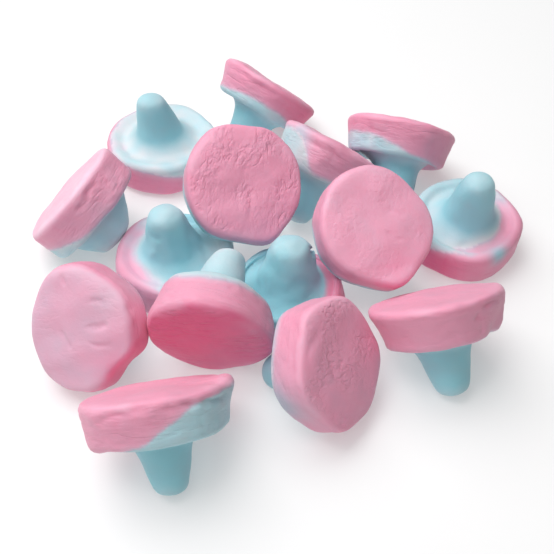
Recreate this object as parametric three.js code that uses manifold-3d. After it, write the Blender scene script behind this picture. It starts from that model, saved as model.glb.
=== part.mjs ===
// A heap of fifteen foam gummy mushrooms, lying as they fell on a flat surface.
// Millimetres, +Z up. Looking along +Y is looking at the heap from its front.
//
// Every sweet is cast in two layers: a pink cap layer, and a blue layer that forms the
// underside and the stem. Both layers show at the side, so each is a solid of its own.
// A sweet is modelled upright about its own axis (cap above, stem below, the middle of the
// cap at the origin), cut into its layers, leaned over, and lowered until it rests on the
// surface or on the sweets below it.

import * as THREE from 'three';
import Module from 'manifold-3d';

// ---- Driving dimensions of one sweet ----
const CAP_RADIUS = 15.2;        // at the top face, the widest part
const CAP_THICKNESS = 9.6;
const CAP_DRAFT = 0.9;          // underside radius as a share of the top radius
const FACE_DOME = 0.5;          // rise of the top face at its middle
const RIM_ROUND = 2.0;          // rounding between faces and side wall
const DISH_DEPTH = 0.9;         // hollow of the underside inside its rim
const STEM_LENGTH = 12.8;       // below the underside
const STEM_ROOT_RADIUS = 6.2;
const STEM_TIP_RADIUS = 4.0;
const FLARE_WIDTH = 3.8;        // the fillet on the underside, outwards from the stem's root
const FLARE_DROP = 3.6;         // height of the fillet, down the stem
const FLARE_BEND = 0.35;        // the fillet's bend, as a share of its width and height
const FLARE_FOOT = 0.6;         // share of the fillet's height that lies below the underside's rim
const RIM_BEND = 0.3;           // the rim rounding's bend, as a share of RIM_ROUND
const STEM_ROUNDING = [[0.72, 1.08], [0.9, 0.84], [0.98, 0.42]]; // [share of length, of tip radius]

// ---- Unevenness of a hand-size casting ----
const LOBE_DEPTH = 0.012;       // random waviness of the outline, share of the radius
const LOBE_COUNTS = [3, 4, 5];
const FACE_RELIEF = 0.22;       // random bumps of the top face
const FACE_WAVES = [9, 14, 19]; // their wavelengths

// ---- Layers ----
const LAYER_GAP = 0.3;          // between the two layers of a sweet
const LAYER_LEVEL = -1.6;       // height of the joint at the sweet's axis, from the middle of the cap
const LAYER_DOME = 3.0;         // how much lower the joint lies at the rim
const CLIMB_START = 0.15;       // share of the radius where a steep climb begins
const CEILING = 30;             // height to which the space above a joint is carried

// ---- Resting ----
const REST_GAP = 0.3;           // between sweets
const SLIDE_STEP = 0.1;         // a sweet on the surface is slid clear in steps of this
const SLIDE_LIMIT = 4;
const LIFT_LIMIT = 14;          // a sweet on top of others is lifted no further than this
const LIFT_TOLERANCE = 0.02;

// ---- Fineness ----
const SEGMENTS = 20;
const JOINT_SEGMENTS = 12;
const JOINT_RINGS = [0.5, 0.9, 1.5]; // shares of the cap radius

// ---- Looks ----
const PINK = 0xf0a8c2;
const BLUE = 0xb2dbe3;
const FOAM_ROUGHNESS = 0.62;

// ---- The sweets ----
// x, y: middle of the cap. lean: tilt of the axis from upright, 180 being stem up.
// head: compass direction the cap's top tips towards (0 = +X, 90 = +Y).
// size, thick, draft, long, girth: shares of cap radius, cap thickness, draft, stem length and
// stem width.
// oval [share, direction]: how much longer the outline is one way. dents: its corners (share
// above 0) and flat sides (below 0), as [direction, share, half-width].
// stemLean [x, y]: how far the stem's tip is off the axis.
// joint [direction, tilt, climb, level, start]: the side towards which the layer joint rises, its
// even rise and its steep climb at the rim there, its change of level and, where it isn't
// CLIMB_START, where the climb begins. So the blue laps up the wall on one side and the pink
// wraps round the rim on the other.
const SWEETS = [
  { name: '09', x: -25, y: 7, lean: 180, head: 0, size: 0.97, draft: 1.0, girth: 1.08, stemLean: [1.2, 0], joint: [165, 3.5, 0, 0.5] },
  { name: '12', x: 2.5, y: -4, lean: 180, head: 0, size: 0.95, long: 1.06, girth: 1.16, stemLean: [-0.5, 0],
    dents: [[309, -0.1, 28]], joint: [350, 4, 0, 0.3] },
  { name: '02', x: -32, y: 52, lean: 180, head: 90, size: 1.01, draft: 1.0, stemLean: [-2.2, 0], joint: [20, 2, 0.6, 0.9] },
  { name: '05', x: 47.5, y: 18.5, lean: 174, head: 90, size: 0.92, draft: 1.0, long: 1.1, stemLean: [1, 0], joint: [210, 3.2, 0, 0.1] },
  { name: '04', x: 32.7, y: 45.1, lean: 46, head: 73, size: 0.98, stemLean: [3, -2.5], joint: [200, 2, 2.5, -0.4] },
  { name: '03', x: 15, y: 37.3, lean: 47, head: 49, size: 0.91, thick: 1.08, joint: [195, 1.5, 7, -0.9, 0.5] },
  { name: '01', x: -3.3, y: 64.8, lean: 46, head: 44, size: 0.97, thick: 0.95, joint: [265, 2.5, 0, -0.3] },
  { name: '08', x: -48.5, y: 19.8, lean: 49, head: 164, size: 0.98, draft: 1.0, long: 0.6, girth: 1.4, stemLean: [0.3, -2.8],
    joint: [210, 2, 2, -0.2] },
  { name: '10', x: -41.8, y: -19.5, lean: 50, head: -115, size: 0.9, draft: 1.0, oval: [0.04, 90],
    dents: [[165, -0.08, 38], [338, 0.06, 15], [306, -0.12, 20], [281, 0.02, 15]], joint: [90, 1, 0, -0.6] },
  { name: '11', x: -14.5, y: -18.5, lean: 99, head: -97, size: 0.93, thick: 1.08, long: 0.92, stemLean: [2.8, 2],
    dents: [[180, -0.1, 34], [350, 0.06, 26]], joint: [75, 1.5, 0.6, -1] },
  { name: '13', x: 10.3, y: -29.6, lean: 52, head: -30, size: 0.92, stemLean: [0, -1.2], draft: 1.0, oval: [0.04, 90],
    dents: [[185, -0.08, 30], [256, -0.1, 22], [288, 0.04, 14], [92, 0.02, 16], [118, -0.06, 18], [150, 0.03, 14], [50, -0.05, 20]],
    joint: [180, 1, 0, -0.6] },
  { name: '14', x: 35, y: -18, lean: 42, head: 107, size: 0.98, draft: 0.85, stemLean: [1, 0], dents: [[20, 0.03, 20]], joint: [90, 1, 0, -1.2] },
  { name: '15', x: -24, y: -42, lean: 46, head: 102, size: 1.03, draft: 0.92, long: 0.95, girth: 0.95, stemLean: [0.5, 0],
    dents: [[25, 0.04, 20], [140, -0.05, 25]], joint: [350, 4, 4.8, -0.6, -0.05] },
  { name: '07', x: 22.4, y: 6.4, lean: 34, head: -69, size: 0.94, draft: 1.0,
    dents: [[-64, 0.09, 16], [45, -0.08, 40], [200, -0.04, 20]], onTop: true, joint: [245, 2, 1.2, 0] },
  { name: '06', x: -8.5, y: 17.6, lean: 41, head: -73, size: 0.94, draft: 1.0,
    dents: [[72, 0.04, 16], [122, 0.05, 18], [262, -0.05, 18], [298, 0.09, 16]], onTop: true, joint: [235, 2, 3, 0.4] },
];

const wasm = await Module();
wasm.setup();

// Small repeatable random source (a linear congruential one), one stream per sweet.
const RANDOM_RANGE = 2 ** 32;
const RANDOM_SPREAD = 2654435761;
const RANDOM_FACTOR = 1664525;
const RANDOM_STEP = 1013904223;
function randomSource(seed) {
  let state = (seed * RANDOM_SPREAD) % RANDOM_RANGE;
  return () => {
    state = (state * RANDOM_FACTOR + RANDOM_STEP) % RANDOM_RANGE;
    return state / RANDOM_RANGE;
  };
}

// The sweet's own waviness: lobes for the outline, waves for the top face.
function unevenness(sweet) {
  const random = randomSource(Number(sweet.name));
  const lobes = LOBE_COUNTS.map((count) => ({ count, share: LOBE_DEPTH * (0.5 + random()), phase: 2 * Math.PI * random() }));
  const [ovalShare, ovalDirection] = sweet.oval ?? [0, 0];
  lobes.push({ count: 2, share: ovalShare, phase: THREE.MathUtils.degToRad(ovalDirection) });
  const dent = (angle) => (sweet.dents ?? []).reduce((sum, [direction, share, width]) => {
    const away = THREE.MathUtils.radToDeg(angle) - direction;
    const turn = away - 360 * Math.round(away / 360);
    return sum + share * Math.exp(-((turn / width) ** 2));
  }, 0);
  const waves = FACE_WAVES.map((length) => ({ angle: 2 * Math.PI * random(), length, phase: 2 * Math.PI * random() }));
  return {
    outline: (angle) => lobes.reduce((sum, l) => sum + l.share * Math.cos(l.count * (angle - l.phase)), 1 + dent(angle)),
    face: (x, y) => waves.reduce((sum, w) =>
      sum + FACE_RELIEF * Math.sin(2 * Math.PI * (x * Math.cos(w.angle) + y * Math.sin(w.angle)) / w.length + w.phase), 0),
  };
}

// Profile of one sweet from the middle of the top face, over the rim, down the wall, across
// the underside and along the stem to its tip, as [radius, height, zone].
function profile(sweet) {
  const top = CAP_RADIUS * (sweet.size ?? 1);
  const bottom = top * (sweet.draft ?? CAP_DRAFT);
  const half = CAP_THICKNESS * (sweet.thick ?? 1) / 2;
  const length = STEM_LENGTH * (sweet.long ?? 1);
  const root = STEM_ROOT_RADIUS * (sweet.girth ?? 1);
  const tip = STEM_TIP_RADIUS * (sweet.girth ?? 1);
  const stem = (share, radius) => [radius, -half - length * share, 'stem'];
  return [
    [0, half + FACE_DOME, 'face'],
    [top * 0.5, half + FACE_DOME * 0.8, 'face'],
    [top - RIM_ROUND, half, 'face'],
    [top - RIM_ROUND * RIM_BEND, half - RIM_ROUND * RIM_BEND, 'cap'],
    [top, half - RIM_ROUND, 'cap'],
    [bottom, -half + RIM_ROUND, 'cap'],
    [bottom - RIM_ROUND * RIM_BEND, -half + RIM_ROUND * RIM_BEND, 'cap'],
    [bottom - RIM_ROUND, -half, 'cap'],
    [root + FLARE_WIDTH, -half + DISH_DEPTH, 'stem'],
    [root + FLARE_WIDTH * FLARE_BEND, -half + DISH_DEPTH - FLARE_DROP * FLARE_BEND, 'stem'],
    [root, -half - FLARE_DROP * FLARE_FOOT, 'stem'],
    ...STEM_ROUNDING.map(([share, width]) => stem(share, tip * width)),
    stem(1, 0),
  ];
}

// Closed surface of one sweet, upright, from its rings of points.
function sweetGeometry(sweet) {
  const rings = profile(sweet);
  const uneven = unevenness(sweet);
  const [leanX, leanY] = sweet.stemLean ?? [0, 0];
  const root = rings.find(([, , zone]) => zone === 'stem')[1];
  const tip = rings[rings.length - 1][1];
  const place = ([radius, height, zone], angle) => {
    const share = zone === 'stem' ? 1 : uneven.outline(angle);
    const drift = zone === 'stem' ? Math.max(0, (root - height) / (root - tip)) : 0;
    const x = radius * share * Math.cos(angle) + leanX * drift;
    const y = radius * share * Math.sin(angle) + leanY * drift;
    return [x, y, height + (zone === 'face' ? uneven.face(x, y) : 0)];
  };
  const points = [...place(rings[0], 0), ...place(rings[rings.length - 1], 0)];
  const inner = rings.slice(1, -1);
  for (const ring of inner) {
    for (let i = 0; i < SEGMENTS; i++) points.push(...place(ring, 2 * Math.PI * i / SEGMENTS));
  }
  const at = (ring, i) => 2 + ring * SEGMENTS + (i % SEGMENTS);
  const triangles = [];
  for (let i = 0; i < SEGMENTS; i++) {
    triangles.push(0, at(0, i), at(0, i + 1));
    triangles.push(1, at(inner.length - 1, i + 1), at(inner.length - 1, i));
    for (let r = 0; r < inner.length - 1; r++) {
      triangles.push(at(r, i), at(r + 1, i), at(r + 1, i + 1), at(r, i), at(r + 1, i + 1), at(r, i + 1));
    }
  }
  return indexedGeometry(points, triangles);
}

// The space above the joint between the layers: a tilted, domed floor carried up as a drum.
function aboveJointGeometry(sweet, offset) {
  const reach = CAP_RADIUS * (sweet.size ?? 1);
  const [direction, tilt, climb, level, start = CLIMB_START] = sweet.joint;
  const uphill = THREE.MathUtils.degToRad(direction);
  const height = (x, y) => {
    const along = (x * Math.cos(uphill) + y * Math.sin(uphill)) / reach;
    return LAYER_LEVEL + level + offset + tilt * along + climb * THREE.MathUtils.smoothstep(along, start, 1)
      - LAYER_DOME * (x * x + y * y) / (reach * reach);
  };
  const points = [0, 0, height(0, 0), 0, 0, CEILING];
  for (const share of JOINT_RINGS) {
    for (let i = 0; i < JOINT_SEGMENTS; i++) {
      const angle = 2 * Math.PI * i / JOINT_SEGMENTS;
      const x = reach * share * Math.cos(angle);
      const y = reach * share * Math.sin(angle);
      points.push(x, y, height(x, y));
    }
  }
  const last = JOINT_RINGS.length;
  const drum = reach * JOINT_RINGS[last - 1];
  for (let i = 0; i < JOINT_SEGMENTS; i++) {
    const angle = 2 * Math.PI * i / JOINT_SEGMENTS;
    points.push(drum * Math.cos(angle), drum * Math.sin(angle), CEILING);
  }
  const at = (ring, i) => 2 + ring * JOINT_SEGMENTS + (i % JOINT_SEGMENTS);
  const triangles = [];
  for (let i = 0; i < JOINT_SEGMENTS; i++) {
    triangles.push(0, at(0, i + 1), at(0, i), 1, at(last, i), at(last, i + 1));
    for (let r = 0; r < last; r++) {
      triangles.push(at(r, i), at(r + 1, i + 1), at(r + 1, i), at(r, i), at(r, i + 1), at(r + 1, i + 1));
    }
  }
  return indexedGeometry(points, triangles);
}

function indexedGeometry(points, triangles) {
  const geometry = new THREE.BufferGeometry();
  geometry.setAttribute('position', new THREE.Float32BufferAttribute(points, 3));
  geometry.setIndex(triangles);
  return geometry;
}

function toSolid(geometry) {
  return new wasm.Manifold(new wasm.Mesh({
    numProp: 3,
    vertProperties: new Float32Array(geometry.getAttribute('position').array),
    triVerts: new Uint32Array(geometry.getIndex().array),
  }));
}

// The main body of a layer, without the shavings left where the joint runs along a face.
function mainBody(solid) {
  return solid.decompose().reduce((largest, piece) => (piece.volume() > largest.volume() ? piece : largest));
}

function toGeometry(solid) {
  const mesh = solid.getMesh();
  const geometry = indexedGeometry(Array.from(mesh.vertProperties), Array.from(mesh.triVerts));
  geometry.computeVertexNormals();
  return geometry;
}

// Leans an upright sweet over and puts the middle of its cap above its spot on the surface.
function pose(sweet) {
  const head = THREE.MathUtils.degToRad(sweet.head);
  const lean = THREE.MathUtils.degToRad(sweet.lean);
  const hinge = new THREE.Vector3(-Math.sin(head), Math.cos(head), 0);
  const turn = new THREE.Quaternion().setFromAxisAngle(hinge, lean);
  return new THREE.Matrix4().compose(new THREE.Vector3(sweet.x, sweet.y, 0), turn, new THREE.Vector3(1, 1, 1));
}

// Finds where a posed sweet rests. On the surface it is slid clear of its neighbours, away from
// their middles; on top of others it is lowered until it stands on them.
function restingPlace(sweet, solid, neighbours) {
  const onSurface = -solid.boundingBox().min[2];
  const blockers = (x, y, z) => {
    const moved = solid.translate([x, y, z]);
    return neighbours.filter((other) => moved.minGap(other.solid, REST_GAP) < REST_GAP);
  };
  if (!sweet.onTop) {
    const slide = new THREE.Vector2();
    let touching = blockers(0, 0, onSurface);
    while (touching.length > 0) {
      const away = new THREE.Vector2();
      for (const other of touching) {
        away.add(new THREE.Vector2(sweet.x - other.sweet.x, sweet.y - other.sweet.y).normalize());
      }
      slide.addScaledVector(away.normalize(), SLIDE_STEP);
      if (slide.length() > SLIDE_LIMIT) throw new Error(`sweet ${sweet.name} finds no room`);
      touching = blockers(slide.x, slide.y, onSurface);
    }
    return [slide.x, slide.y, onSurface];
  }
  let low = onSurface;
  let high = onSurface + LIFT_LIMIT;
  while (high - low > LIFT_TOLERANCE) {
    const middle = (high + low) / 2;
    if (blockers(0, 0, middle).length === 0) high = middle; else low = middle;
  }
  return [0, 0, high];
}

const pink = new THREE.MeshStandardMaterial({ color: PINK, roughness: FOAM_ROUGHNESS, metalness: 0 });
const blue = new THREE.MeshStandardMaterial({ color: BLUE, roughness: FOAM_ROUGHNESS, metalness: 0 });

const group = new THREE.Group();
group.name = 'gummy_mushroom_heap';
const placed = [];
for (const sweet of SWEETS) {
  const matrix = pose(sweet).toArray();
  const whole = toSolid(sweetGeometry(sweet));
  const resting = whole.transform(matrix);
  const place = restingPlace(sweet, resting, placed);
  placed.push({ sweet, solid: resting.translate(place) });
  const layers = [
    ['cap', whole.intersect(toSolid(aboveJointGeometry(sweet, LAYER_GAP / 2))), pink],
    ['stem', whole.subtract(toSolid(aboveJointGeometry(sweet, -LAYER_GAP / 2))), blue],
  ];
  for (const [layer, solid, material] of layers) {
    const mesh = new THREE.Mesh(toGeometry(mainBody(solid).transform(matrix).translate(place)), material);
    mesh.name = `mushroom_${sweet.name}_${layer}`;
    group.add(mesh);
  }
}

// The heap's box is centred on the origin and stands on Z = 0.
const box = new THREE.Box3().setFromObject(group);
for (const mesh of group.children) {
  mesh.geometry.translate(-(box.min.x + box.max.x) / 2, -(box.min.y + box.max.y) / 2, -box.min.z);
}

export default group;
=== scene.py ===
"""The looks of a heap of foam gummy mushrooms.

Each sweet is one soft casting whose pink cap runs into its blue stem. The frame says where the
sweets lie; this file gives them their rounded form, their creased skin and their colours, and
sets the stage. A sweet is shaped upright in millimetres, cap above and stem below, with the
middle of its cap at the origin, and is then turned and put in its place in metres.
"""

import math

import bmesh
import bpy
from mathutils import Matrix, Vector, noise
from mathutils.geometry import interpolate_bezier
from mathutils.kdtree import KDTree


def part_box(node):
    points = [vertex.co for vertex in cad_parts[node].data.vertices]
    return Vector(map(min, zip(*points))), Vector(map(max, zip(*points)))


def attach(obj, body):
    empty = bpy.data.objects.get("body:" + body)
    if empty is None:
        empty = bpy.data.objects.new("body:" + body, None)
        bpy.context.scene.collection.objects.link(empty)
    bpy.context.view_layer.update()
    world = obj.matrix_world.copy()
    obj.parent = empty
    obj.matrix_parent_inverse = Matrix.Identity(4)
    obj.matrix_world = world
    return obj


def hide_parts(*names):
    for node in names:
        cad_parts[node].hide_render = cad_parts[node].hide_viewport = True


bl_info = {
    "name": "Heap of foam gummy mushrooms",
    "version": (1, 0, 0),
    "blender": (4, 5, 0),
    "location": "3D View > Sidebar > Sweets",
    "description": "Builds pink and blue foam mushrooms on their frame, with a plain stage",
    "category": "Add Mesh",
}

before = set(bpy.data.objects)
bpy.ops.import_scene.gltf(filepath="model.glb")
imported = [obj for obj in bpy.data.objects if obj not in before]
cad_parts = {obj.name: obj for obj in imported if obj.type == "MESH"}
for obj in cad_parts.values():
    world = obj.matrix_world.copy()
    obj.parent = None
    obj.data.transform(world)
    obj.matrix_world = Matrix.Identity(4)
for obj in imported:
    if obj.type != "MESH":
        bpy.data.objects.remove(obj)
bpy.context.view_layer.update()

MM = 0.001

# ---- One sweet, in millimetres ----
CAP_RADIUS = 15.2
CAP_THICKNESS = 9.6
CAP_DRAFT = 0.9
FACE_DOME = 0.5
RIM_ROUND = 2.0
RIM_BEND = 0.3
DISH_DEPTH = 0.9
STEM_LENGTH = 12.8
STEM_ROOT_RADIUS = 6.2
STEM_TIP_RADIUS = 4.0
FLARE_WIDTH = 3.8
FLARE_DROP = 3.6
FLARE_BEND = 0.35
FLARE_FOOT = 0.6
STEM_ROUNDING = ((0.72, 1.08), (0.9, 0.84), (0.98, 0.42))

# ---- Unevenness that the frame's solids have too ----
LOBE_DEPTH = 0.012
LOBE_COUNTS = (3, 4, 5)
FACE_RELIEF = 0.22
FACE_WAVES = (9, 14, 19)

# ---- Where pink meets blue, in millimetres ----
LAYER_LEVEL = -1.6
LAYER_DOME = 3.0
CLIMB_START = 0.15

# ---- Fineness ----
CAGE_SEGMENTS = 20  # around the frame's solids
AROUND = 168  # around a finished sweet
LINE_SPACING = 0.46  # between rings, in millimetres
CAGE_TOLERANCE = 0.6  # between a sweet's cage and its solids in the frame, in millimetres

# ---- Skin ----
SMOOTHED_RELIEF = 0.35  # share of the frame's coarse bumps that a finished top face keeps
PLAIN_WRINKLES = (0.5, 0, 2)
LUMP_SIZES = (8, 3.6)  # of the low and the small lumps, in millimetres
SMALL_LUMP_SHARE = 0.35
STEM_SMOOTHING = 0.6  # share of the lumps that a stem goes without
PLAIN_WAIST = 0.15
PLAIN_KNOBS = 0.12
KNOB_SIZE = 3.2
WALL_CREASE = (9, 2.2, 0.12, 0.45)  # length, height, width and strength of the creases along a wall
CROSS_CREASE = (3, 9, 0.1, 0.3)  # width, length, line width and strength of the creases across it
FACE_CREASE = (4.5, 0.09, 0.25)  # size, width and strength of the creases of a top face
FACE_GRAIN = (1.7, 0.25)  # size and strength of its grain
JOINT_WAVES = ((5, 0.55), (1.6, 0.2))  # size and height of the waves where the colours meet
PLAIN_BLEND = 0.5
PLAIN_BLOOM = 0.4
PLAIN_MILK = 0.15
MILK_REACH = 1.4
JOINT_HAZE = (0.2, 1.2)  # strength and reach of the blue haze just above the joint
FOLD_STEP = 0.3  # between the points of a fold, in millimetres
FOLD_FADE = 4  # a fold is at full depth from this fraction of its length inwards
FOLD_WANDER = 1.0  # how far a fold strays from its line, in millimetres
# The next two are painted highlights: a paler stem tip and a paler rounded edge of the top face.
TIP_HIGHLIGHT = 0.3  # how pale the tip of a stem is
EDGE_HIGHLIGHT = 0.3  # how pale the edge of a top face is
EDGE_BAND = 1.6  # half-width of that pale edge, in millimetres
WALL_STRETCH = 4  # length-to-width of the fine lines of a wall
# Painted light carried by these: the deeper pink is painted shade and pink inter-reflection, the crease amount darkens
# the colour as painted crease shade, and the paleness includes painted highlights.
NUMBER_ATTRIBUTES = ("blue", "haze", "painted_shade_rose", "pale", "crease", "face_lines", "wall_lines")
PLACE_ATTRIBUTES = ("face_place", "wall_place")

# ---- The sweets ----
# lean, head: tilt of the axis from upright, and the compass direction that the top tips towards.
# size, thick, draft, long, girth: shares of the sizes above. rim: the rim's rounding in millimetres.
# oval, dents, stem_lean, joint: as in the frame's solids.
# blend: half-width in millimetres over which the two colours run into each other.
# haze, then the deeper pink that is painted shade and pink inter-reflection, then pale: how blue, how deep and how pale
# the pink is, on the top face and on the wall.
# waist: how far the middle of the wall draws in, in millimetres.
# knobs: height of the stem's lumps, in millimetres.
# wrinkles: depth, direction and length-to-width of the fine lines of the top face.
# milk: how white the foam is where the two colours meet.
# folds: creases, each (direction, radius, height) at its two ends, then its width and depth, a ridge if below 0.
# marks: local patches, each (kind, direction, radius, height, reach, amount). A "rise" is in millimetres. The deeper
# pink patches are painted shade and pink inter-reflection.
SWEETS = {
    "09": dict(lean=180, head=0, size=0.97, draft=1.0, girth=1.08, stem_lean=(1.2, 0),
               joint=(165, 3.5, 0, 0.5), blend=0.9, milk=0.45, knobs=0.3, bloom=0.2,
               folds=[(20, 5.2, -13.4, 330, 5.4, -12.6, 0.8, 0.3), (330, 5.4, -12.6, 285, 5.2, -13.4, 0.8, 0.3),
                      (300, 6.4, -10, 320, 9.5, -7, 1.4, -0.5), (175, 9, -5, 200, 13, -4.4, 0.8, 0.3)],
               marks=[("pale", 175, 14, -2, 8, 0.8)]),
    "12": dict(lean=180, head=0, size=0.95, long=1.06, girth=1.16, stem_lean=(-0.5, 0),
               dents=[(309, -0.1, 28)], joint=(350, 4, 0, 0.3), blend=0.6, painted_shade=(0, 0.4), milk=0.05, knobs=0.3,
               bloom=0.1, folds=[(165, 5, -16, 150, 9.5, -7, 1.6, -0.7), (190, 5.5, -15, 120, 6, -12.5, 1, 0.4),
                                  (60, 6.5, -11, 95, 9, -7, 1.2, 0.4)]),
    "02": dict(lean=180, head=90, size=1.01, draft=1.0, stem_lean=(-2.2, 0), joint=(20, 2, 0.6, 0.9),
               blend=0.6, painted_shade=(0, 0.35), milk=0.25, bloom=0.8,
               folds=[(20, 10, -4.2, 70, 11.5, -4.4, 0.9, 0.25), (130, 10.5, -4.2, 175, 11, -4.4, 0.9, 0.25)]),
    "05": dict(lean=174, head=90, size=0.92, draft=1.0, long=1.1, stem_lean=(1, 0),
               joint=(210, 3.2, 0, 0.1), blend=0.6, painted_shade=(0, 0.1), milk=0.4, bloom=0.55,
               folds=[(40, 9.5, -4.2, 120, 9.5, -4.2, 0.8, 0.3)],
               marks=[("blue", 60, 13.5, -4.2, 2.6, 0.9), ("painted_shade_rose", 130, 14, 0, 8, 1.0)]),
    "04": dict(lean=46, head=73, size=0.98, stem_lean=(3, -2.5), joint=(200, 2, 2.5, -0.4), rim=1.8,
               blend=0.5, haze=(0, 0.05), waist=0.3, bloom=0.5,
               folds=[(222, 14, 4, 228, 14, -4, 0.9, 0.5), (235, 14, 2.6, 300, 14, 2.8, 0.8, 0.25)],
               marks=[("rise", 290, 14.5, 1, 3, 0.5)]),
    "03": dict(lean=47, head=49, size=0.91, thick=1.08, joint=(195, 1.5, 7, -0.9, 0.5), rim=1.6, blend=0.7,
               pale=(0, 0.15), waist=0.2, bloom=0.6, folds=[(225, 13.5, 2.4, 275, 13.5, 1.6, 0.8, 0.35)],
               marks=[("blue", 215, 13.5, 1.5, 4, 0.7)]),
    "01": dict(lean=46, head=44, size=0.97, thick=0.95, joint=(265, 2.5, 0, -0.3), rim=1.8, blend=0.5,
               painted_shade=(0, 0.1), waist=0.3, bloom=0.4, folds=[(200, 14, 2.5, 280, 14, 1.4, 0.8, 0.4)],
               marks=[("painted_shade_rose", 325, 14, 0, 6, 0.4)]),
    "08": dict(lean=49, head=164, size=0.98, draft=1.0, long=0.6, girth=1.4, stem_lean=(0.3, -2.8),
               joint=(210, 2, 2, -0.2), rim=2.0, blend=0.5, haze=(0.12, 0.06), pale=(0.6, 0), waist=0.5,
               bloom=0.6, folds=[(330, 14.6, 2.6, 296, 14.6, 1.4, 0.8, 0.55), (318, 14.6, 1.6, 326, 14.6, -3, 1, 0.4)],
               marks=[("pale", 310, 9, -8, 9, 0.6)]),
    "10": dict(lean=50, head=-115, size=0.9, draft=1.0, oval=(0.04, 90),
               dents=[(165, -0.08, 38), (338, 0.06, 15), (306, -0.12, 20), (281, 0.02, 15)],
               joint=(90, 1, 0, -0.6), rim=2.8, haze=(0.24, 0.02), pale=(0.1, 0), wrinkles=(0.18, 0, 2),
               folds=[(46, 7.2, 4.8, 31, 10, 4.8, 0.6, 0.35), (3, 4, 4.8, 2, 8.6, 4.8, 0.6, 0.35),
                      (320, 4.4, 4.8, 338, 9.8, 4.8, 0.6, 0.45), (180, 3.2, 4.8, 262, 3.6, 4.8, 0.6, 0.3),
                      (95, 9.8, 4.8, 96, 12, 4.8, 0.6, 0.35), (20, 13.4, 3, 350, 13.4, 2.4, 0.9, 0.4)],
               marks=[("painted_shade_rose", 60, 14, 0, 9, 0.2), ("painted_shade_rose", 315, 14, 0, 8, 0.6), ("pale", 20, 14, 0, 7, 0.4)]),
    "11": dict(lean=99, head=-97, size=0.93, thick=1.08, long=0.92, stem_lean=(2.8, 2),
               dents=[(180, -0.1, 34), (350, 0.06, 26)], joint=(75, 1.5, 0.6, -1), blend=0.9,
               painted_shade=(0.85, 0.0), wrinkles=(0.9, 0, 4), bloom=0.5,
               folds=[(60, 13.5, -1.5, 40, 13.8, -3.6, 0.8, 0.4), (52, 13.5, -2.5, 30, 13.8, -4.4, 0.8, 0.35)],
               marks=[("pale", 60, 4, -12, 7, 0.7)]),
    "13": dict(lean=52, head=-30, size=0.92, stem_lean=(0, -1.2), draft=1.0, oval=(0.04, 90),
               dents=[(185, -0.08, 30), (256, -0.1, 22), (288, 0.04, 14), (92, 0.02, 16), (118, -0.06, 18),
                      (150, 0.03, 14), (50, -0.05, 20)],
               joint=(180, 1, 0, -0.6), blend=1.2, painted_shade=(0.08, 0), haze=(0.08, 0.06), wrinkles=(0.6, 0, 1.2),
               rim=2.4, waist=0.4,
               folds=[(150, 9, 4.9, 200, 10.5, 4.9, 0.9, 0.25), (160, 13, 2.6, 215, 13, 2.4, 1.2, 0.3)],
               marks=[("blue", 235, 14, -4, 6, 0.62), ("painted_shade_rose", 45, 15, -1, 8, 0.6)]),
    "14": dict(lean=42, head=107, size=0.98, draft=0.85, stem_lean=(1, 0), dents=[(20, 0.03, 20)],
               joint=(90, 1, 0, -1.2), rim=1.7, blend=0.5, waist=0.5, wrinkles=(0.3, 0, 3),
               folds=[(222, 14, 2.5, 250, 14, 3.1, 0.7, 0.3), (250, 14, 3.1, 300, 14, 3.3, 0.7, 0.45),
                      (300, 14, 3.2, 345, 14.4, 3, 0.7, 0.7), (306, 14, 2, 310, 13, -4.4, 1, 0.4)],
               marks=[("rise", 0, 14, 0.4, 3.2, 0.9), ("rise", 354, 13, -2.8, 2, 0.9),
                      ("rise", 335, 12.6, -4.8, 2.2, -0.8)]),
    "15": dict(lean=46, head=102, size=1.03, draft=0.92, long=0.95, girth=0.95, stem_lean=(0.5, 0),
               dents=[(25, 0.04, 20), (140, -0.05, 25)], joint=(350, 4, 4.8, -0.6, -0.05), rim=1.9,
               blend=0.35, waist=0.4, wrinkles=(0.3, 0, 3), bloom=0.4,
               folds=[(231, 15, 1.6, 260, 15, 3, 0.8, 0.5), (260, 15, 3, 280, 15, 3.6, 0.8, 0.4),
                      (284, 15.4, 2.8, 352, 15.4, 1.7, 0.8, 0.8), (312, 15, 1, 316, 14.4, -4, 0.7, 0.3)],
               marks=[("rise", 0, 15.6, 3.6, 3, 0.8), ("rise", 20, 15.4, 4.6, 3, 0.6),
                      ("rise", 205, 14, -4.4, 4, 0.8)]),
    "07": dict(lean=34, head=-69, size=0.94, draft=1.0,
               dents=[(-64, 0.09, 16), (45, -0.08, 40), (200, -0.04, 20)], joint=(245, 2, 1.2, 0),
               blend=0.7, pale=(0.2, 0.05), wrinkles=(0.25, 90, 1),
               folds=[(60, 4, 5, 20, 6, 5, 0.7, 0.2), (300, 3, 5, 330, 6.5, 5, 0.7, 0.2)],
               marks=[("rise", 200, 5, 5, 3.5, -0.25), ("painted_shade_rose", 296, 13.5, 2, 5, 0.5)]),
    "06": dict(lean=41, head=-73, size=0.94, draft=1.0,
               dents=[(72, 0.04, 16), (122, 0.05, 18), (262, -0.05, 18), (298, 0.09, 16)],
               joint=(235, 2, 3, 0.4), blend=0.8, painted_shade=(0.05, 0), wrinkles=(0.7, 84, 1.6),
               folds=[(80, 7, 4.9, 92, 2, 4.9, 0.6, 0.2), (300, 2, 4.9, 284, 8, 4.9, 0.6, 0.2),
                      (150, 6, 4.9, 175, 7.5, 4.9, 0.7, 0.15)]),
}
STEM_UP = ("02", "05", "09", "12")
ON_TOP = ("06", "07")
ON_SIDE = tuple(sorted(set(SWEETS) - set(STEM_UP) - set(ON_TOP)))

# Small repeatable random source (a linear congruential one), one stream per sweet.
RANDOM_RANGE = 2**32
RANDOM_SPREAD = 2654435761
RANDOM_FACTOR = 1664525
RANDOM_STEP = 1013904223


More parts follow.
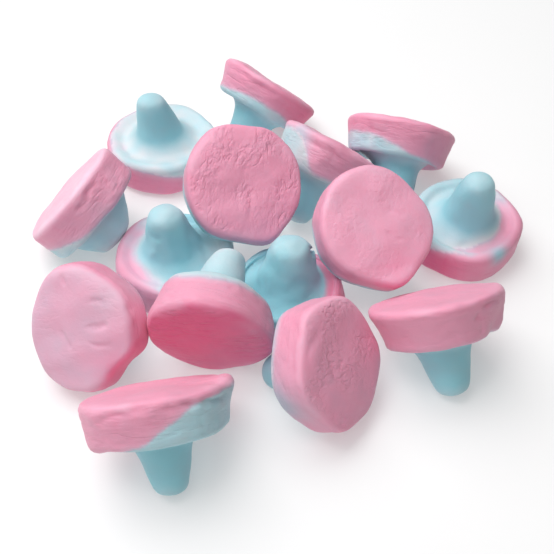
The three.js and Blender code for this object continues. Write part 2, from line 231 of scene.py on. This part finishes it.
def random_source(seed):
    state = seed * RANDOM_SPREAD % RANDOM_RANGE

    def draw():
        nonlocal state
        state = (state * RANDOM_FACTOR + RANDOM_STEP) % RANDOM_RANGE
        return state / RANDOM_RANGE

    return draw


def clamp(value, low=0.0, high=1.0):
    return min(max(value, low), high)


def smooth_step(low, high, value):
    t = clamp((value - low) / (high - low))
    return t * t * (3 - 2 * t)


class Casting:
    """The sizes and the unevenness of one sweet, upright, in millimetres."""

    def __init__(self, name):
        self.facts = facts = SWEETS[name]
        self.top = CAP_RADIUS * facts["size"]
        self.bottom = self.top * facts.get("draft", CAP_DRAFT)
        self.half = CAP_THICKNESS * facts.get("thick", 1) / 2
        self.length = STEM_LENGTH * facts.get("long", 1)
        self.root = STEM_ROOT_RADIUS * facts.get("girth", 1)
        self.tip = STEM_TIP_RADIUS * facts.get("girth", 1)
        self.flare = self.root + FLARE_WIDTH
        self.under = -self.half + DISH_DEPTH
        self.end = -self.half - self.length
        draw = random_source(int(name))
        self.lobes = [(count, LOBE_DEPTH * (0.5 + draw()), 2 * math.pi * draw()) for count in LOBE_COUNTS]
        share, direction = facts.get("oval", (0, 0))
        self.lobes.append((2, share, math.radians(direction)))
        self.waves = [(2 * math.pi * draw(), length, 2 * math.pi * draw()) for length in FACE_WAVES]
        self.seed = Vector((int(name) * 31.7, int(name) * 11.3, int(name) * 5.9))
        self.fold_points = list(self.fold_lines())
        self.folds = KDTree(len(self.fold_points))
        for index, (spot, _, _) in enumerate(self.fold_points):
            self.folds.insert(spot, index)
        self.folds.balance()

    def outline(self, angle):
        """The outline's radius at an angle, as a share of a round one's."""
        share = 1 + sum(depth * math.cos(count * (angle - phase)) for count, depth, phase in self.lobes)
        for direction, depth, width in self.facts.get("dents", ()):
            away = math.degrees(angle) - direction
            away -= 360 * round(away / 360)
            share += depth * math.exp(-((away / width) ** 2))
        return share

    def relief(self, x, y):
        """The low bumps of the top face."""
        return sum(
            FACE_RELIEF * math.sin(2 * math.pi * (x * math.cos(a) + y * math.sin(a)) / length + phase)
            for a, length, phase in self.waves
        )

    def joint_height(self, x, y):
        """Where pink meets blue."""
        direction, tilt, climb, level, *start = self.facts["joint"]
        reach = self.top
        along = (x * math.cos(math.radians(direction)) + y * math.sin(math.radians(direction))) / reach
        rise = climb * smooth_step(start[0] if start else CLIMB_START, 1, along)
        return LAYER_LEVEL + level + tilt * along + rise - LAYER_DOME * (x * x + y * y) / (reach * reach)

    def knots(self, rim=RIM_ROUND):
        """The section from the middle of the top face to the stem's tip, as (radius, height)."""
        top, bottom, half = self.top, self.bottom, self.half
        edge, bend = rim * RIM_BEND, RIM_ROUND * RIM_BEND
        return [
            (0, half + FACE_DOME),
            (top * 0.5, half + FACE_DOME * 0.8),
            (top - rim, half),
            (top - edge, half - edge),
            (top, half - rim),
            (bottom, -half + RIM_ROUND),
            (bottom - bend, -half + bend),
            (bottom - RIM_ROUND, -half),
            (self.flare, self.under),
            (self.root + FLARE_WIDTH * FLARE_BEND, self.under - FLARE_DROP * FLARE_BEND),
            (self.root, -half - FLARE_DROP * FLARE_FOOT),
            *((self.tip * width, -half - self.length * share) for share, width in STEM_ROUNDING),
            (0, self.end),
        ]

    def uneven(self, radius, height, angle, relief=1.0):
        """Where the true sweet has the point that a perfectly round one has at (radius, height)."""
        cap = 1.0 if height > 0 else clamp((radius - self.flare) / (self.bottom - RIM_ROUND - self.flare))
        face = 1 - smooth_step(self.top - RIM_ROUND, self.top - RIM_ROUND * RIM_BEND, radius)
        lean_x, lean_y = self.facts.get("stem_lean", (0, 0))
        drift = (1 - cap) * max(0.0, (self.under - height) / (self.under - self.end))
        share = 1 + cap * (self.outline(angle) - 1)
        x = radius * share * math.cos(angle) + lean_x * drift
        y = radius * share * math.sin(angle) + lean_y * drift
        return Vector((x, y, height + (relief * face * self.relief(x, y) if height > self.half - RIM_ROUND else 0)))

    def fold_lines(self):
        """The points along the sweet's folds, each with the fold's width and depth."""
        for *ends, width, depth in self.facts.get("folds", ()):
            (direction, radius, height), (end_direction, end_radius, end_height) = ends[:3], ends[3:]
            turn = math.radians((end_direction - direction + 180) % 360 - 180)
            run = abs(turn) * radius + abs(end_height - height) + abs(end_radius - radius)
            count = math.ceil(run / FOLD_STEP)
            for i in range(count + 1):
                t = i / count
                a, r = math.radians(direction) + turn * t, radius + (end_radius - radius) * t
                spot = Vector((r * math.cos(a), r * math.sin(a), height + (end_height - height) * t))
                yield spot, width, depth * min(1.0, min(t, 1 - t) * FOLD_FADE + 1 / FOLD_FADE)

    def fold_at(self, point):
        """How deep a fold cuts in at a point, and how strongly it darkens the colour as painted crease shade."""
        if not self.fold_points:
            return 0.0, 0.0
        _, index, away = self.folds.find(point + noise.noise_vector(point / 3 + self.seed) * FOLD_WANDER)
        width, depth = self.fold_points[index][1:]
        share = math.exp(-((away / width) ** 2))
        return depth * share, clamp(depth) * share

    def turn(self):
        head, lean = math.radians(self.facts["head"]), math.radians(self.facts["lean"])
        return Matrix.Rotation(lean, 4, Vector((-math.sin(head), math.cos(head), 0)))

    def cage(self):
        """The corner points of the sweet's solids in the frame, turned but not yet placed."""
        turn = self.turn()
        return [
            turn @ self.uneven(radius, height, 2 * math.pi * i / CAGE_SEGMENTS)
            for radius, height in self.knots()
            for i in range(CAGE_SEGMENTS)
        ]


def smooth_line(knots, spacing):
    """Points about `spacing` apart on a smooth curve through the knots, from axis to axis."""
    line = [Vector((radius, 0, height)) for radius, height in knots]
    mirrored = [Vector((-line[i].x, 0, line[i].z)) for i in (1, -2)]
    padded = [mirrored[0], *line, mirrored[1]]
    points = []
    for before, start, end, after in zip(padded, padded[1:], padded[2:], padded[3:]):
        chord = (end - start).length
        leave = start + (end - before).normalized() * chord / 3
        arrive = end - (after - start).normalized() * chord / 3
        count = max(2, round(chord / spacing) + 1)
        points += interpolate_bezier(start, leave, arrive, end, count)[:-1]
    return [*points, line[-1]]


def place_in_frame(name, casting):
    """The shift that puts a turned sweet where its solids lie in the frame, in millimetres."""
    corners = [corner / MM for part in ("cap", "stem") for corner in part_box(f"mushroom_{name}_{part}")]
    cage = casting.cage()
    shift = Vector()
    for axis in range(3):
        low, high = min(c[axis] for c in corners), max(c[axis] for c in corners)
        cage_low, cage_high = min(p[axis] for p in cage), max(p[axis] for p in cage)
        if abs((high - low) - (cage_high - cage_low)) > CAGE_TOLERANCE:
            raise RuntimeError(f"sweet {name} doesn't match its solids in the frame")
        shift[axis] = (low + high - cage_low - cage_high) / 2
    return shift


def crease_line(value, width):
    """1 along the zero line of a noise value, falling to 0 over the width."""
    return math.exp(-((value / width) ** 2))


def marks_at(casting, point, kind):
    """The summed strength of the sweet's marks of one kind at a point."""
    total = 0.0
    for name, direction, radius, height, reach, amount in casting.facts.get("marks", ()):
        if name == kind:
            a = math.radians(direction)
            away = point - Vector((radius * math.cos(a), radius * math.sin(a), height))
            total += amount * math.exp(-away.length_squared / reach**2)
    return total


def skin(casting, look, point, normal):
    """How far the skin lies above the plain form at a point, and how strongly the point is creased, which the colour
    shows as painted crease shade.
    """
    facts, seed = casting.facts, casting.seed
    face = smooth_step(0.75, 0.95, normal.z) if point.z > 0 else 0.0
    wall = (1 - smooth_step(0.4, 0.85, abs(normal.z))) if point.z > -casting.half else 0.0
    stem = smooth_step(-casting.half + 1, -casting.half - 2, point.z)
    low, small = LUMP_SIZES
    lump = noise.noise(point / low + seed) + noise.noise(point / small + seed * 1.7) * SMALL_LUMP_SHARE
    rise = lump * look.lump_depth / MM * (1 - STEM_SMOOTHING * stem) + marks_at(casting, point, "rise")
    rise -= wall * facts.get("waist", PLAIN_WAIST) * (1 - (point.z / casting.half) ** 2)
    if stem > 0:
        rise += stem * facts.get("knobs", PLAIN_KNOBS) * noise.noise(point / KNOB_SIZE + seed * 2.1)
    fold, folded = casting.fold_at(point)
    crease = 0.0
    if wall > 0:
        run, drop, along_width, along_share = WALL_CREASE
        width, tall, across_width, across_share = CROSS_CREASE
        along = noise.noise(Vector((point.x / run, point.y / run, point.z / drop)) + seed)
        come_and_go = smooth_step(-0.15, 0.35, noise.noise(point / 9 - seed))
        across = noise.noise(Vector((point.x / width, point.y / width, point.z / tall)) - seed)
        crease += wall * (along_share * come_and_go * crease_line(along, along_width)
                          + across_share * crease_line(across, across_width) * (1 - come_and_go))
    grain = 0.0
    if face > 0:
        depth = facts.get("wrinkles", PLAIN_WRINKLES)[0]
        warp = noise.noise_vector(point / 6 + seed) * 1.5
        size, line_width, strength = FACE_CREASE
        grain_size, grain_share = FACE_GRAIN
        line = noise.noise((point + warp) / size + seed * 2.3)
        patch = smooth_step(-0.2, 0.3, noise.noise(point / 7 + seed * 3))
        crease += face * depth * strength * crease_line(line, line_width) * patch
        grain = face * depth * noise.noise(point / grain_size + seed) * grain_share
    crease = clamp(crease)
    return rise - fold + (grain - crease) * look.crease_depth / MM, clamp(crease + folded)


def fine_lines(casting, point, normal):
    """Where a point is in the fields of fine lines of the top face and of the wall, and how deep they are."""
    depth, direction, stretch = casting.facts.get("wrinkles", PLAIN_WRINKLES)
    c, s = math.cos(math.radians(direction)), math.sin(math.radians(direction))
    face_place = Vector(((point.x * c + point.y * s) / stretch, point.y * c - point.x * s, point.z)) + casting.seed
    reach = math.hypot(point.x, point.y)
    bend = math.atan2(point.y, point.x)
    wall_place = Vector((math.cos(bend), math.sin(bend), 0)) * casting.top / WALL_STRETCH
    wall_place += Vector((0, 0, point.z)) + casting.seed
    face = smooth_step(0.8, 0.97, normal.z) if point.z > 0 else 0.0
    wall = smooth_step(0.75, 0.4, abs(normal.z)) * smooth_step(casting.root, casting.flare, reach)
    patch = smooth_step(-0.45, 0.25, noise.noise(point / 7 + casting.seed * 3))
    return face_place, wall_place, face * depth * patch, wall * (0.4 + 0.6 * patch)


def tint(casting, point, normal):
    """How blue a point is, -1 being pure pink and 1 pure blue, how blue-hazed it is, how deep its pink is painted as
    shade and pink inter-reflection, and how pale it is, painted highlights included.
    """
    facts, seed = casting.facts, casting.seed
    above = point.z - casting.joint_height(point.x, point.y)
    (broad, broad_height), (fine, fine_height) = JOINT_WAVES
    above += broad_height * noise.noise(point / broad + seed) + fine_height * noise.noise(point / fine + seed)
    blue = clamp(-above / facts.get("blend", PLAIN_BLEND), -1.5, 1.5)
    face = smooth_step(0.3, 0.9, normal.z) if point.z > 0 else 0.0

    def on_face_or_wall(key, plain):
        on_face, on_wall = facts.get(key, plain)
        return on_wall + (on_face - on_wall) * face

    haze = on_face_or_wall("haze", (0.05, 0.05)) * (1 + 0.4 * noise.noise(point / 6 - seed))
    haze_strength, haze_reach = JOINT_HAZE
    haze += haze_strength * math.exp(-max(above, 0) / haze_reach) * (1 - face)
    # Deeper pink painted as shade and pink inter-reflection, on shaded walls and faces and where sweets touch.
    painted_shade_rose = on_face_or_wall("painted_shade", (0, 0)) + marks_at(casting, point, "painted_shade_rose")
    pale = on_face_or_wall("pale", (0, 0)) + marks_at(casting, point, "pale")
    # Painted highlight: the rounded edge of the top face is painted paler.
    edge = (math.hypot(point.x, point.y) - casting.top + 1) / EDGE_BAND
    if point.z > 0:
        patch = smooth_step(-0.4, 0.3, noise.noise(point / 8 + seed * 0.7))
        pale += EDGE_HIGHLIGHT * patch * math.exp(-edge * edge) * smooth_step(0.1, 0.5, normal.z)
    pale += facts.get("milk", PLAIN_MILK) * math.exp(-((above / MILK_REACH) ** 2))
    if above < 0:
        stem = smooth_step(casting.under + 0.3, casting.under - 3.5, point.z)
        # The underside is paler, and the stem's tip is painted paler as a highlight.
        tip = smooth_step(casting.end + 4, casting.end + 0.5, point.z)
        bloom = facts.get("bloom", PLAIN_BLOOM) * (1 - stem) + TIP_HIGHLIGHT * tip
        pale += bloom * (1 + 0.5 * noise.noise(point / 4 - seed))
    patch = marks_at(casting, point, "blue")
    blue = max(blue, 2 * patch - 1)
    return blue, clamp(haze), clamp(painted_shade_rose), clamp(pale)


def cast_sweet(name, look, material):
    """Shapes one sweet, turns it, and puts it where its solids lie in the frame."""
    casting = Casting(name)
    bm = bmesh.new()
    rim = casting.facts.get("rim", RIM_ROUND)
    line = [bm.verts.new(point) for point in smooth_line(casting.knots(rim), LINE_SPACING)]
    edges = [bm.edges.new(pair) for pair in zip(line, line[1:])]
    bmesh.ops.spin(bm, geom=line + edges, cent=(0, 0, 0), axis=(0, 0, 1), dvec=(0, 0, 0), angle=2 * math.pi,
                   steps=AROUND, use_merge=True, use_normal_flip=False, use_duplicate=False)
    bmesh.ops.remove_doubles(bm, verts=bm.verts, dist=LINE_SPACING / 100)
    bmesh.ops.recalc_face_normals(bm, faces=bm.faces)
    for vert in bm.verts:
        vert.co = casting.uneven(math.hypot(vert.co.x, vert.co.y), vert.co.z, math.atan2(vert.co.y, vert.co.x),
                                 SMOOTHED_RELIEF)
    bm.normal_update()
    numbers = {key: bm.verts.layers.float.new(key) for key in NUMBER_ATTRIBUTES}
    places = {key: bm.verts.layers.float_vector.new(key) for key in PLACE_ATTRIBUTES}
    moves = []
    for vert in bm.verts:
        rise, crease = skin(casting, look, vert.co, vert.normal)
        *spots, face_lines, wall_lines = fine_lines(casting, vert.co, vert.normal)
        for layer, spot in zip(places.values(), spots):
            vert[layer] = spot
        values = (*tint(casting, vert.co, vert.normal), crease, face_lines, wall_lines)
        for layer, value in zip(numbers.values(), values):
            vert[layer] = value
        moves.append(vert.normal * rise)
    for vert, move in zip(bm.verts, moves):
        vert.co += move
    shift = place_in_frame(name, casting)
    bmesh.ops.transform(bm, matrix=Matrix.Scale(MM, 4) @ Matrix.Translation(shift) @ casting.turn(), verts=bm.verts)
    for vert in bm.verts:
        vert.co.z = max(vert.co.z, 0)
    for face in bm.faces:
        face.smooth = True
    mesh = bpy.data.meshes.new(f"sweet_{name}")
    bm.to_mesh(mesh)
    bm.free()
    mesh.materials.append(material)
    sweet = bpy.data.objects.new(f"sweet_{name}", mesh)
    bpy.context.scene.collection.objects.link(sweet)
    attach(sweet, "root")
    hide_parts(f"mushroom_{name}_cap", f"mushroom_{name}_stem")
    return sweet


# ---- Materials ----
# Where Blender's nodes have their sockets.
MIX_SHARE, MIX_START, MIX_END, MIX_RESULT = 0, 6, 7, 2
ATTRIBUTE_VECTOR, ATTRIBUTE_NUMBER = 1, 2
OBJECT_COORDINATES = 3

# Depths of the fine relief, in millimetres, and how its lines are drawn.
PIT_DEPTH = 0.6
FURROW_DEPTH = 0.15
FURROW_SCALE = 0.55
FURROW_SHARPNESS = 14
SWELL_DEPTH = 0.3
SWELL_SCALE = 0.7
WALL_FOLD_DEPTH = 0.06
WALL_FOLD_SCALE = 0.6
WALL_FOLD_SHARPNESS = 13


class Wire:
    """A socket in an expression. Arithmetic on wires adds Math nodes."""

    def __init__(self, graph, socket):
        self.graph, self.socket = graph, socket

    def math(self, operation, *others, clamped=False):
        return self.graph.node("ShaderNodeMath", {"operation": operation, "use_clamp": clamped},
                               dict(enumerate((self, *others))))

    def __add__(self, other):
        return self.math("ADD", other)

    __radd__ = __add__

    def __mul__(self, other):
        return self.math("MULTIPLY", other)

    def __sub__(self, other):
        return self.math("SUBTRACT", other)

    def __rsub__(self, other):
        return (self * -1).math("ADD", other)

    def __truediv__(self, other):
        return self.math("DIVIDE", other)

    def size(self):
        return self.math("ABSOLUTE")

    def clamped(self):
        return self.math("ADD", 0.0, clamped=True)


class Graph:
    """The nodes of one material."""

    def __init__(self, name):
        self.material = bpy.data.materials.new(name)
        self.material.use_nodes = True
        self.tree = self.material.node_tree
        self.tree.nodes.clear()

    def node(self, kind, settings=None, sockets=None, output=0):
        node = self.tree.nodes.new(kind)
        for key, value in (settings or {}).items():
            setattr(node, key, value)
        for key, value in (sockets or {}).items():
            if isinstance(value, Wire):
                self.tree.links.new(value.socket, node.inputs[key])
            else:
                node.inputs[key].default_value = value
        return Wire(self, node.outputs[output]) if node.outputs else None

    def mix(self, share, start, end):
        """A colour between two colours."""
        return self.node("ShaderNodeMix", {"data_type": "RGBA"}, {MIX_SHARE: share, MIX_START: start, MIX_END: end},
                         output=MIX_RESULT)

    def attribute(self, name, output=ATTRIBUTE_NUMBER):
        return self.node("ShaderNodeAttribute", {"attribute_name": name}, output=output)

    def noise(self, place, scale, detail=2.0, roughness=0.5):
        return self.node("ShaderNodeTexNoise", None,
                         {"Vector": place, "Scale": scale, "Detail": detail, "Roughness": roughness})


def foam_material(look):
    """Soft sugar foam: pink and blue that run into each other, with a fine matte skin."""
    graph = Graph("sugar_foam")
    place = graph.node("ShaderNodeTexCoord", output=OBJECT_COORDINATES)
    blue, haze, painted_shade_rose, pale, crease, face_lines, wall_lines = (graph.attribute(key) for key in NUMBER_ATTRIBUTES)
    face_place, wall_place = (graph.attribute(key, output=ATTRIBUTE_VECTOR) for key in PLACE_ATTRIBUTES)
    cloud = graph.noise(place, 1 / look.cloud_size, detail=3.0) - 0.5
    grain = graph.noise(place, 1 / look.grain_size, detail=4.0, roughness=0.6) - 0.5

    # Fine lines and pits, as heights in millimetres.
    pits = graph.noise(face_place, look.line_scale) - 0.5
    lines = graph.noise(face_place, look.line_scale * FURROW_SCALE, detail=3.0) - 0.5
    furrow = (1 - lines.size() * FURROW_SHARPNESS).clamped() * face_lines
    folds = graph.noise(wall_place, look.line_scale * WALL_FOLD_SCALE, detail=3.0) - 0.5
    fold = (1 - folds.size() * WALL_FOLD_SHARPNESS).clamped() * wall_lines
    swell = graph.noise(wall_place, look.line_scale * SWELL_SCALE, detail=2.0) - 0.5
    height = pits * face_lines * PIT_DEPTH - furrow * FURROW_DEPTH
    height = height + swell * wall_lines * SWELL_DEPTH - fold * WALL_FOLD_DEPTH
    height = height + grain * look.grain_depth / MM

    # Painted crease shade: creases, furrows and folds make both colours deeper and darker. The deeper pink also holds
    # random patches and painted shade and pink inter-reflection; the paler colours hold the foam's own paleness and
    # painted highlights.
    painted_crease_shade = (crease * 0.5 + furrow * 0.2 + fold * 0.12).clamped()
    deep = (painted_shade_rose + cloud * 0.5 + painted_crease_shade * 0.4).clamped()
    pink = graph.mix(deep, (*look.pink, 1), (*look.deep_pink, 1))
    pink = graph.mix((pale + cloud * pale - painted_crease_shade * 0.3).clamped(), pink, (*look.pale_pink, 1))
    teal = graph.mix((cloud * 0.8 + painted_crease_shade * 0.5).clamped(), (*look.blue, 1), (*look.deep_blue, 1))
    teal = graph.mix((pale + cloud * 0.6).clamped(), teal, (*look.pale_blue, 1))
    share = (0.5 + blue * 0.5 + cloud * 0.35).clamped()
    share = (share + haze * (1 - share) * (1 + cloud)).clamped()
    base = graph.mix(share, pink, teal)
    bump = graph.node("ShaderNodeBump", None, {"Strength": 1.0, "Distance": MM, "Height": height})
    shader = graph.node("ShaderNodeBsdfPrincipled", {"subsurface_method": "RANDOM_WALK"}, {
        "Base Color": base,
        "Roughness": look.roughness,
        "Specular IOR Level": look.shine,
        "Subsurface Weight": look.softness,
        "Subsurface Radius": (1.0, 0.42, 0.5),
        "Subsurface Scale": look.soft_depth,
        "Sheen Weight": look.dust,
        "Sheen Roughness": 0.5,
        "Normal": bump,
    })
    graph.node("ShaderNodeOutputMaterial", None, {"Surface": shader})
    return graph.material


def floor_material(stage):
    """A pale floor, faintly lit from within so that shadows on it stay light."""
    graph = Graph("pale_floor")
    place = graph.node("ShaderNodeTexCoord", output=OBJECT_COORDINATES)
    speckle = graph.noise(place, 40.0)
    base = graph.mix(speckle * 0.3, (*stage.floor_colour, 1), (*(0.98 * c for c in stage.floor_colour), 1))
    shader = graph.node("ShaderNodeBsdfPrincipled", None,
                        {"Base Color": base, "Roughness": 0.9, "Specular IOR Level": 0.1,
                         "Emission Color": (1, 1, 1, 1), "Emission Strength": stage.floor_glow})
    graph.node("ShaderNodeOutputMaterial", None, {"Surface": shader})
    return graph.material


# ---- Add-on ----
PHOTO_WIDTH = 554  # in pixels
PHOTO_FOCAL_LENGTH = 870  # in pixels


def length(name, description, default):
    return bpy.props.FloatProperty(name=name, description=description, default=default, min=0, precision=5,
                                   subtype="DISTANCE", unit="LENGTH")


def share(name, description, default):
    return bpy.props.FloatProperty(name=name, description=description, default=default, min=0, max=1,
                                   subtype="FACTOR")


def colour(name, description, default):
    return bpy.props.FloatVectorProperty(name=name, description=description, default=default, size=3, min=0, max=1,
                                         subtype="COLOR")


class SweetLook(bpy.types.PropertyGroup):
    """The foam's colours and skin."""

    pink: colour("Pink", "Pink of the cap in full light", (0.85, 0.33, 0.47))
    # Deep pink: the colour of random deeper patches, and also painted shade and pink inter-reflection on shaded parts
    # and painted shade in creases.
    deep_pink: colour("Deep pink", "Pink of the denser foam and of creases", (0.84, 0.13, 0.29))
    # Pale pink: the foam's paler colour, and also painted highlights on the edge of the top face.
    pale_pink: colour("Pale pink", "Pink of the drier foam", (0.95, 0.58, 0.73))
    blue: colour("Blue", "Blue of the stem and underside in full light", (0.31, 0.64, 0.72))
    # Deep blue: the colour of random deeper patches, and also painted shade in creases.
    deep_blue: colour("Deep blue", "Blue of the denser foam and of creases", (0.17, 0.46, 0.55))
    # Pale blue: the foam's paler colour, and also painted highlights on the stem's tip and the edge of the top face.
    pale_blue: colour("Pale blue", "Blue of the thin foam at the cap's edge", (0.64, 0.69, 0.72))
    roughness: share("Roughness", "Roughness of the matte skin", 0.58)
    shine: share("Shine", "Strength of the skin's faint gloss", 0.35)
    dust: share("Dust", "Strength of the fine starch dust", 0.1)
    softness: share("Softness", "Share of the light that goes through the foam", 0.2)
    soft_depth: length("Soft depth", "How far light goes into the foam", 0.0015)
    lump_depth: length("Lump depth", "Height of the low lumps", 0.0004)
    crease_depth: length("Crease depth", "Depth of the creases", 0.00028)
    cloud_size: length("Cloud size", "Size of the soft patches of colour", 0.006)
    line_scale: bpy.props.FloatProperty(name="Line scale", description="Fine lines in a millimetre", default=0.8, min=0)
    grain_size: length("Grain size", "Size of the skin's fine grain", 0.0007)
    grain_depth: length("Grain depth", "Depth of the skin's fine grain", 0.00006)


class StageLook(bpy.types.PropertyGroup):
    """The plain stage: floor, light and camera."""

    floor_colour: colour("Floor", "Colour of the floor", (0.62, 0.62, 0.62))
    floor_glow: bpy.props.FloatProperty(name="Floor glow", description="Light that the floor gives", default=0.32,
                                        min=0)
    floor_size: length("Floor size", "Side of the floor", 6.0)
    sky: bpy.props.FloatProperty(name="Sky", description="Strength of the even light", default=0.05, min=0)
    key_power: bpy.props.FloatProperty(name="Key power", description="Power of the light behind", default=4.2, min=0,
                                       unit="POWER")
    key_place: bpy.props.FloatVectorProperty(name="Key place", description="Where the light behind hangs",
                                             default=(-0.2, 0.16, 0.56), size=3, subtype="TRANSLATION",
                                             unit="LENGTH")
    fill_power: bpy.props.FloatProperty(name="Fill power", description="Power of the light in front", default=1.9,
                                        min=0, unit="POWER")
    fill_place: bpy.props.FloatVectorProperty(name="Fill place", description="Where the light in front hangs",
                                              default=(-0.14, -0.28, 0.56), size=3, subtype="TRANSLATION",
                                              unit="LENGTH")
    lamp_size: length("Lamp size", "Side of each of the two soft lights", 0.6)
    aim: bpy.props.FloatVectorProperty(name="Aim", description="Point that the camera looks at",
                                       default=(0.00008, -0.01177, 0.008), size=3, subtype="TRANSLATION",
                                       unit="LENGTH")
    elevation: bpy.props.FloatProperty(name="Elevation", description="Height angle of the camera",
                                       default=math.radians(47), subtype="ANGLE", unit="ROTATION")
    distance: length("Distance", "From the camera to its aim", 0.208)
    field: bpy.props.FloatProperty(name="Field of view", description="Angle across the picture",
                                   default=2 * math.atan(PHOTO_WIDTH / 2 / PHOTO_FOCAL_LENGTH), subtype="ANGLE",
                                   unit="ROTATION")


class SweetsOperator:
    """What the sweets' operators share."""

    bl_options = {"REGISTER", "UNDO"}
    names = ()

    def execute(self, context):
        look = context.scene.sweet_look
        material = bpy.data.materials.get("sugar_foam") or foam_material(look)
        for name in self.names:
            cast_sweet(name, look, material)
        return {"FINISHED"}


class SWEETS_OT_stem_up(SweetsOperator, bpy.types.Operator):
    """Build the sweets that lie on their top face with the stem up"""

    bl_idname = "sweets.stem_up"
    bl_label = "Sweets with the stem up"
    names = STEM_UP


class SWEETS_OT_on_side(SweetsOperator, bpy.types.Operator):
    """Build the sweets that lie tipped on their rim"""

    bl_idname = "sweets.on_side"
    bl_label = "Sweets on their side"
    names = ON_SIDE


class SWEETS_OT_on_top(SweetsOperator, bpy.types.Operator):
    """Build the sweets that lie on top of the others"""

    bl_idname = "sweets.on_top"
    bl_label = "Sweets on top"
    names = ON_TOP


class SWEETS_OT_stage(bpy.types.Operator):
    """Build the floor, the light and the camera"""

    bl_idname = "sweets.stage"
    bl_label = "Stage"
    bl_options = {"REGISTER", "UNDO"}

    def execute(self, context):
        scene, stage = context.scene, context.scene.sweet_stage
        bm = bmesh.new()
        bmesh.ops.create_grid(bm, x_segments=1, y_segments=1, size=stage.floor_size / 2)
        mesh = bpy.data.meshes.new("floor")
        bm.to_mesh(mesh)
        bm.free()
        mesh.materials.append(floor_material(stage))
        floor = bpy.data.objects.new("floor", mesh)
        scene.collection.objects.link(floor)

        world = bpy.data.worlds.new("even_light")
        world.use_nodes = True
        world.node_tree.nodes["Background"].inputs["Color"].default_value = (1, 1, 1, 1)
        world.node_tree.nodes["Background"].inputs["Strength"].default_value = stage.sky
        scene.world = world

        for name, power, place in (("key_light", stage.key_power, stage.key_place),
                                   ("fill_light", stage.fill_power, stage.fill_place)):
            lamp = bpy.data.objects.new(name, bpy.data.lights.new(name, "AREA"))
            lamp.data.shape, lamp.data.size, lamp.data.energy = "SQUARE", stage.lamp_size, power
            lamp.location = place
            lamp.rotation_euler = (-Vector(place)).to_track_quat("-Z", "Y").to_euler()
            scene.collection.objects.link(lamp)

        camera = bpy.data.objects.new("camera", bpy.data.cameras.new("camera"))
        camera.data.angle = stage.field
        back = Vector((0, -math.cos(stage.elevation), math.sin(stage.elevation)))
        camera.location = Vector(stage.aim) + back * stage.distance
        camera.rotation_euler = back.to_track_quat("Z", "Y").to_euler()
        camera.data.clip_start = 0.01
        scene.collection.objects.link(camera)
        scene.camera = camera
        scene.view_settings.view_transform = "Standard"
        return {"FINISHED"}


class SWEETS_PT_panel(bpy.types.Panel):
    """Lists the builders and their settings"""

    bl_idname = "SWEETS_PT_panel"
    bl_label = "Foam gummy mushrooms"
    bl_space_type = "VIEW_3D"
    bl_region_type = "UI"
    bl_category = "Sweets"

    def draw(self, context):
        for group in (context.scene.sweet_look, context.scene.sweet_stage):
            box = self.layout.box()
            for key in group.__annotations__:
                box.prop(group, key)
        for operator in OPERATORS:
            self.layout.operator(operator.bl_idname)


OPERATORS = (SWEETS_OT_stem_up, SWEETS_OT_on_side, SWEETS_OT_on_top, SWEETS_OT_stage)
CLASSES = (SweetLook, StageLook, *OPERATORS, SWEETS_PT_panel)


def register():
    for cls in CLASSES:
        bpy.utils.register_class(cls)
    bpy.types.Scene.sweet_look = bpy.props.PointerProperty(type=SweetLook)
    bpy.types.Scene.sweet_stage = bpy.props.PointerProperty(type=StageLook)


def unregister():
    del bpy.types.Scene.sweet_stage
    del bpy.types.Scene.sweet_look
    for cls in reversed(CLASSES):
        bpy.utils.unregister_class(cls)


def main():
    register()
    bpy.ops.sweets.stage()
    bpy.ops.sweets.stem_up()
    bpy.ops.sweets.on_side()
    bpy.ops.sweets.on_top()


if __name__ == "__main__":
    main()
